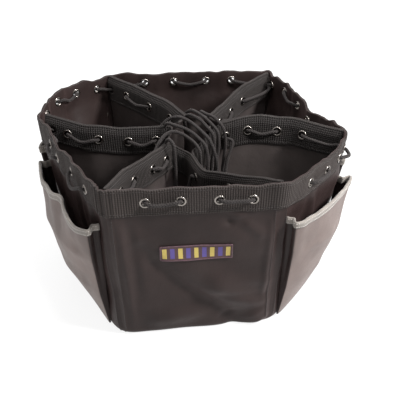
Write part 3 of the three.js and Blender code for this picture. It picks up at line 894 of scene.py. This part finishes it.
def add_lining(side):
    name = SIDES[side]["name"]
    along = np.arange(0, lining_length(side) + 1.9, 1.9)
    along *= lining_length(side) / along[-1]
    fine = 36
    s, drop = np.meshgrid(along, rows_of((0, fine, 1.8), (fine, HEIGHT - 10, 4.0)))
    tall = np.interp(along, STOPS[side], LINES[side][1][:, 2] - FLOOR)
    stretch = (tall - fine) / (HEIGHT - 10 - fine)
    drop = np.where(drop > fine, fine + (drop - fine) * stretch, drop)
    cloth(f"lining_cloth_{name}", lining_point(side, s, drop, FACE), np.stack([s, drop], -1), LINING,
          LINING_NYLON_PAINTED_LIGHT, [f"lining_{name}"], holes=lining_holes(side, FACE), inward=False)
    s, drop = np.meshgrid(along, rows_of((-0.2, WEBBING["tall"], 1.6)))
    cloth(f"lining_tape_{name}", lining_point(side, s, drop, TAPE_FACE), np.stack([s, drop], -1),
          WEBBING["thick"], LINING_TAPE_PAINTED_SHADE, [f"lining_webbing_{name}"],
          holes=lining_holes(side, TAPE_FACE), inward=False)


def add_eyelets(side):
    name = SIDES[side]["name"]
    for i, s in enumerate(WALL_EYELETS[side]):
        place = wall_point(s, eyelet_z(side))
        normal = surface_normal(wall_point, np.array(s), np.array(eyelet_z(side)), 3.0)
        add_eyelet(f"eyelet_ring_{name}_{i + 1}", place, normal, WEBBING["gap"] + WEBBING["thick"], -WALL,
                   [f"eyelet_{name}_{i + 1}"])
    for arm in ("low", "high"):
        for i, distance in enumerate(arm_eyelets(side, arm)):
            s = np.array(arm_s(side, arm, distance))
            place = lining_point(side, s, EYELET["drop"], FACE)
            normal = lining_normal(side, s)
            add_eyelet(f"lining_eyelet_{name}_{arm}_{i + 1}", place, normal, TAPE_FACE - FACE, -LINING)


def lining_normal(side, s):
    """The lining's normal at eyelet height, towards the pouch."""
    drop = np.array(EYELET["drop"])
    across = lining_point(side, s + 3, drop) - lining_point(side, s - 3, drop)
    up = lining_point(side, s, drop - 3) - lining_point(side, s, drop + 3)
    return unit(np.cross(across, up))


# ---- outer pockets ----
def pocket_level(z):
    heights = [level["z"] for level in POCKET_LEVELS]
    return [np.interp(z, heights, [level[key] for level in POCKET_LEVELS]) for key in ("out", "bulge")]


def pocket_point(side, u, z):
    """A point of a pocket's outside face: u runs from 0 to 1 along its path from wall to wall."""
    start, length = STARTS[side], SIDE_LENGTHS[side]
    droop, belly = SIDES[side]["pocket"]["droop"], SIDES[side]["pocket"]["belly"]
    lead, across = pocket_level(z)
    up = np.clip(z / POCKET_LEVELS[-1]["z"], 0, 1)
    margins = [mix(POCKET["base_margin"] + inset, POCKET["mouth_margin"] + inset / 2, up)
               for inset in POCKET_INSETS[side]]
    edge = POCKET["corner"]
    shares = [0, 0, 0.25, 0.5, 0.75, 1, 1]
    bulges = [0, 0, 0.8, 1, 0.8, 0, 0]
    reaches = [0, 1, 1, 1, 1, 1, 0]
    stops = [0, edge, 0.3, 0.5, 0.7, 1 - edge, 1]
    soft = 0.12 * smooth_step(edge, 0.3, u) * (1 - smooth_step(0.7, 1 - edge, u)) + 0.014
    soft = soft * smooth_step(0, 0.03, u) * (1 - smooth_step(0.97, 1, u))
    total = 0.0
    for step, weight in zip(*average_window(11)):
        at = np.clip(u + step * soft, 0, 1)
        t = np.interp(at, stops, shares)
        away = POCKET["reach"] + (lead - POCKET["reach"]) * np.interp(at, stops, reaches)
        away = away + belly * across * np.interp(at, stops, bulges)
        height = z * (1 - mix(droop[0], droop[1], t) / POCKET_LEVELS[-1]["z"])
        s = start + mix(margins[0], length - margins[1], t)
        here = rounded_loop(s, height)
        normal = to_the_right(rounded_loop(s + 0.5, height) - rounded_loop(s - 0.5, height))
        total = total + weight * np.concatenate([here + normal * away[..., None], height[..., None]], -1)
    return total


def pocket_surface(side, u, z, out=0.0):
    """The pocket's face with soft waves, gussets pressed inwards, and a mouth that dips and rises."""
    u, z = np.broadcast_arrays(np.asarray(u, float), np.asarray(z, float))
    here = pocket_point(side, u, z)
    ahead = pocket_point(side, np.clip(u + 0.01, 0, 1), z) - pocket_point(side, np.clip(u - 0.01, 0, 1), z)
    normal = level_normals(ahead)
    edge = POCKET["corner"]
    free = smooth_step(edge, edge + 0.12, u) * (1 - smooth_step(1 - edge - 0.12, 1 - edge, u))
    push = (3.0 * wobble(here, 44, 17.3 + side) + 1.0 * wobble(here, 20, 3.1)) * free * smooth_step(5, 60, z)
    pleats = np.exp(-(((u - edge / 2) / 0.022) ** 2)) + np.exp(-(((u - 1 + edge / 2) / 0.022) ** 2))
    push = push - 3.5 * pleats * smooth_step(40, 148, z)
    rise = 3.0 * wobble(here * [1, 1, 0], 34, 71.1 + side) * free
    near_mouth = smooth_step(80, 148, z)
    for place, width, outwards, up in MOUTH_WAVES[side]:
        wave = np.exp(-(((u - place) / width) ** 2))
        push = push + near_mouth * wave * outwards
        rise = rise + wave * up
    here = here + normal * (push + out)[..., None]
    here[..., 2] += near_mouth * rise
    return here


def pocket_length(side):
    u = np.linspace(0, 1, 80)
    line = pocket_point(side, u, np.full(80, float(POCKET_LEVELS[-1]["z"])))
    return float(lengths_along(line)[-1])


def add_pocket(side):
    """A pocket's paler face, its two dark gussets and the tape folded over its mouth."""
    name = SIDES[side]["name"]
    mouth = POCKET_LEVELS[-1]["z"]
    long = pocket_length(side)
    edge = POCKET["corner"]
    parts = [("face", (edge, 1 - edge), 120, POCKET_NYLON, "pocket_nylon"),
             ("gusset_start", (0, edge), 24, NYLON, "nylon"),
             ("gusset_end", (1 - edge, 1), 24, NYLON, "nylon")]
    for part, (first, last), columns, material, slot in parts:
        u, z = np.meshgrid(np.linspace(first, last, columns), rows_of((4, mouth - 1, 2.5)))
        cloth(f"pocket_{part}_{name}", pocket_surface(side, u, z), np.stack([u * long, z], -1),
              POCKET["thick"], material, [f"pocket_{name}"])
    profile = [(0.9, -BINDING["tall"]), (1.0, -6), (1.0, -3), (1.0, -0.8), (0.6, 0.3), (-0.6, 0.9),
               (-1.8, 0.3), (-2.2, -0.8), (-2.2, -3), (-2.1, -6), (-2.0, -BINDING["tall"])]
    columns = np.linspace(0, 1, 220)
    rows = np.stack([pocket_surface(side, columns, np.full(220, mouth + drop), out) for out, drop in profile])
    lengths = np.stack(np.meshgrid(columns * long, lengths_along(profile)), -1)
    cloth(f"pocket_binding_tape_{name}", rows, lengths, BINDING["thick"], BINDING_TAPE,
          [f"pocket_binding_{name}"])


# ---- label ----
def label_point(x, y, out):
    """A point of the label, x along it and y up it from its lower left corner."""
    s, z = nearest_length("label_patch", np.linspace(0.3, 0.7, 400) * SIDE_LENGTHS[0])
    s += LABEL_SIZE["past"]
    narrowing = np.linalg.norm(loop_point(s + 1, z) - loop_point(s - 1, z)) / 2
    return wall_point(s + (x - LABEL_SIZE["wide"] / 2) / narrowing, z - LABEL_SIZE["tall"] / 2 + y, out)


def add_label():
    wide, tall = LABEL_SIZE["wide"], LABEL_SIZE["tall"]
    x, y = np.meshgrid(np.arange(0, wide + 0.5, 1.0), np.arange(0, tall + 0.5, 1.0))
    cloth("woven_label", label_point(x, y, 1.3), np.stack([x, y], -1), 0.9, LABEL, ["label_patch"])
    corners = [(0, 0), (wide, 0), (wide, tall), (0, tall), (0, 0)]
    edge = [mix(np.array(a, float), np.array(b, float), t) for a, b in zip(corners, corners[1:])
            for t in np.arange(0, 1, 1.0 / max(abs(b[0] - a[0]), abs(b[1] - a[1])))]
    edge = np.array(edge)
    tube("label_border", label_point(edge[:, 0], edge[:, 1], 1.1), 0.75, LABEL_EDGE, sides=8)


# ---- stitching ----
def stitch_row(name, points, normals, material, long=2.3, radius=0.32, pitch=3.3):
    """Separate stitches along a line of points: each one a short capsule half sunk in the cloth."""
    points = np.asarray(points, float)
    travelled = lengths_along(points)
    places = np.arange(pitch / 2, travelled[-1], pitch)
    shape = [(-0.5, 0.35), (-0.36, 0.9), (0.0, 1.0), (0.36, 0.9), (0.5, 0.35)]
    sides = 6
    angles = np.arange(sides) / sides * 2 * math.pi
    vertices, faces = [], []
    for place in places:
        centre = point_at(place, travelled, points)
        tangent = unit(point_at(place + 0.5, travelled, points) - point_at(place - 0.5, travelled, points))
        normal = unit(point_at(place, travelled, normals))
        side = np.cross(tangent, normal)
        first = len(vertices)
        for lengthwise, width in shape:
            for angle in angles:
                spoke = math.cos(angle) * side + math.sin(angle) * normal
                vertices.append(centre + tangent * lengthwise * long + radius * width * spoke)
        for ring in range(len(shape) - 1):
            for j in range(sides):
                k = (j + 1) % sides
                a, b = first + ring * sides, first + (ring + 1) * sides
                faces.append((a + j, b + j, b + k, a + k))
        faces.append(tuple(first + j for j in range(sides)))
        faces.append(tuple(first + (len(shape) - 1) * sides + j for j in reversed(range(sides))))
    return add_piece(name, vertices, faces, material)


def wall_stitches(name, s, z, out):
    points = wall_point(s, z, out)
    normals = surface_normal(lambda a, b: wall_point(a, b, out), s, z)
    stitch_row(name, points, normals, THREAD)


def add_stitching():
    around = np.arange(0, AROUND, 1.5)
    out = WEBBING["gap"] + WEBBING["thick"] + 0.12
    wall_stitches("stitch_rim_top", around, np.full(len(around), HEIGHT - 3.0), out)
    wall_stitches("stitch_rim_bottom", around, np.full(len(around), HEIGHT - WEBBING["tall"] + 3.0), out)
    for corner in range(6):
        z = np.arange(9, HEIGHT - WEBBING["tall"] - 1, 1.5)
        for hand, edge in (("left", -7.0), ("right", 7.0)):
            s = np.full(len(z), STARTS[corner] + edge)
            wall_stitches(f"stitch_seam_{SIDES[corner]['name']}_{hand}", s, z, 0.1)
    for side, data in enumerate(SIDES):
        s = np.arange(6, lining_length(side) - 6, 1.5)
        for place, depth in (("top", 3.0), ("bottom", WEBBING["tall"] - 3.0)):
            drop = np.full(len(s), depth)
            points = lining_point(side, s, drop, TAPE_FACE + 0.12)
            normals = level_normals(lining_point(side, s + 1, drop) - lining_point(side, s - 1, drop))
            stitch_row(f"stitch_lining_{place}_{data['name']}", points, normals, THREAD)
        if data["pocket"]:
            u = np.linspace(0.012, 0.988, 200)
            for place, depth in (("top", 1.4), ("bottom", BINDING["tall"] - 1.6)):
                points = pocket_surface(side, u, np.full(200, POCKET_LEVELS[-1]["z"] - depth), 1.1)
                normals = level_normals(np.gradient(points, axis=0))
                stitch_row(f"stitch_pocket_{place}_{data['name']}", points, normals, PALE_THREAD,
                           long=2.0, radius=0.3, pitch=3.0)


# ---- drawstrings ----
# How far off the wall's face the cord's centre runs, outside it and inside it.
CORD_OUT = 6.2
CORD_IN = -5.6
# How far off a partition's line the cord's centre runs, on the pouch's side and between the two plies.
VISIBLE = TAPE_FACE + CORD_RADIUS + 0.8
HIDDEN = 0.1
# Loose stretches, by side and first eyelet: how much further out, and how far they sag.
SLACK = {(1, 2): (5.0, 1.0), (5, 0): (2.5, 4.0), (5, 2): (4.0, 9.0)}
# The cord's steps through an eyelet: along the rim, and which of four offsets it has there.
STEP_THROUGH = ((-4.8, 0), (-0.6, 1), (0.6, 2), (4.8, 3))


def wall_cord(side):
    """The cord in one outer wall: outside between the first pair of eyelets and the last."""
    offs = (CORD_IN, -2.6, 3.0, CORD_OUT)
    points = []
    for i, s in enumerate(WALL_EYELETS[side]):
        outwards = i % 2 == 0
        for shift, place in STEP_THROUGH:
            off = offs[place] if outwards else offs[3 - place]
            points.append(wall_point(s + shift, eyelet_z(side), off))
        if i < 3:
            middle = (s + WALL_EYELETS[side][i + 1]) / 2
            slack, sag = SLACK.get((side, i), (0.8, 1.0)) if outwards else (0, 3.0)
            off = CORD_OUT + slack if outwards else CORD_IN - 1
            points.append(wall_point(middle, eyelet_z(side) - sag, off))
    return points


def arm_cord(side, arm):
    """The cord along one arm of a lining, from the corner inwards, in and out of its four eyelets."""
    def at(distance, drop, off):
        return lining_point(side, arm_s(side, arm, distance), drop, off)

    over = arm in SIDES[side]["over"]
    level = EYELET["drop"]
    if over:
        points = [at(CORNER_PASS - 5, level, VISIBLE + 0.5), at(CORNER_PASS, level, FACE),
                  at(CORNER_PASS + 6, level, HIDDEN)]
    else:
        points = [at(10, level + 1, VISIBLE + 3)]
    showing = not over
    places = arm_eyelets(side, arm)
    offs = (VISIBLE, TAPE_FACE + 0.6, PLY["centre"] - 0.2, HIDDEN)
    for i, distance in enumerate(places):
        for shift, place in STEP_THROUGH:
            points.append(at(distance + shift, level, offs[place] if showing else offs[3 - place]))
        showing = not showing
        if i < 3:
            middle = (distance + places[i + 1]) / 2
            lift = 4.5 if arm == "low" else -4.5
            points.append(at(middle, level + (3.6 if showing else lift), VISIBLE + 1 if showing else HIDDEN))
    return points


def tail_route(side, arm, last):
    """A drawstring's free end, from its last eyelet to its knot."""
    route = [np.array(p, float) for p in SIDES[side][arm]]
    if arm in SIDES[side]["over"]:
        distance = arm_eyelets(side, arm)[-1]
        rise = [(8, EYELET["drop"] - 4, HIDDEN), (11, 3.0, 0.6)]
        climb = [lining_point(side, arm_s(side, arm, distance + d), drop, off) for d, drop, off in rise]
        return [last] + climb + route
    return [last] + route


def knot(name, centre, replaces=()):
    """An overhand knot, drawn tight."""
    t = np.linspace(0, 2 * math.pi, 90)
    line = np.stack([np.sin(t) + 2 * np.sin(2 * t), -1.25 * np.sin(3 * t), np.cos(t) - 2 * np.cos(2 * t)], -1)
    return tube(name, centre + line * 1.75, CORD_RADIUS * 0.93, CORD, replaces)


def add_drawstring(side):
    name = SIDES[side]["name"]
    node = f"drawstring_{name}"
    low, high = arm_cord(side, "low"), arm_cord(side, "high")
    woven = curve_through(low[::-1] + wall_cord(side) + high)
    tube(f"drawstring_woven_{name}", woven, CORD_RADIUS, CORD, [node])
    ends = {}
    for arm, run in (("low", low), ("high", high)):
        ends[arm] = curve_through(tail_route(side, arm, run[-1]))
    middle = (ends["low"][-1] + ends["high"][-1]) / 2 - np.array([0, 0, 4.0])
    knotted = knot(f"drawstring_knot_{name}", middle, [node])
    for arm, line in ends.items():
        piece = tube(f"drawstring_end_{name}_{arm}", line, CORD_RADIUS, CORD, [node])


# ---- stage ----
def add_light(name, place, size, power):
    light = bpy.data.objects.new(name, bpy.data.lights.new(name, "AREA"))
    light.data.shape = "DISK"
    light.data.size = size
    light.data.energy = power
    light.location = place
    light.rotation_euler = (Vector(LIGHT_AIM) - Vector(place)).to_track_quat("-Z", "Y").to_euler()
    bpy.context.scene.collection.objects.link(light)


def add_stage():
    scene = bpy.context.scene
    scene.view_settings.view_transform = "Standard"
    scene.world = bpy.data.worlds.new("studio")
    scene.world.use_nodes = True
    background = scene.world.node_tree.nodes["Background"]
    background.inputs["Color"].default_value = (1, 1, 1, 1)
    background.inputs["Strength"].default_value = 0.7
    white = Nodes("floor")
    shade = white.ramp(white.noise(3, 1), [(0.0, (0.15, 0.15, 0.15)), (1.0, (0.17, 0.17, 0.17))])
    mesh = bpy.data.meshes.new("floor")
    corners = [(x * FLOOR_HALF, y * FLOOR_HALF, 0) for x, y in ((-1, -1), (1, -1), (1, 1), (-1, 1))]
    mesh.from_pydata(corners, [], [(0, 1, 2, 3)])
    white.shader.inputs["Emission Color"].default_value = (1, 1, 1, 1)
    white.shader.inputs["Emission Strength"].default_value = 0.86
    mesh.materials.append(white.finish(shade, roughness=0.9, specular=0.1))
    floor = bpy.data.objects.new("floor", mesh)
    scene.collection.objects.link(floor)
    for name, (place, size, power) in LIGHTS.items():
        add_light(name, place, size, power)


add_camera()
for number in range(6):
    add_drawstring(number)
add_outer_shell()
add_rim_webbing()
add_base()
for number in range(6):
    add_lining(number)
    add_eyelets(number)
    if SIDES[number]["pocket"]:
        add_pocket(number)
add_label()
add_stitching()
add_stage()
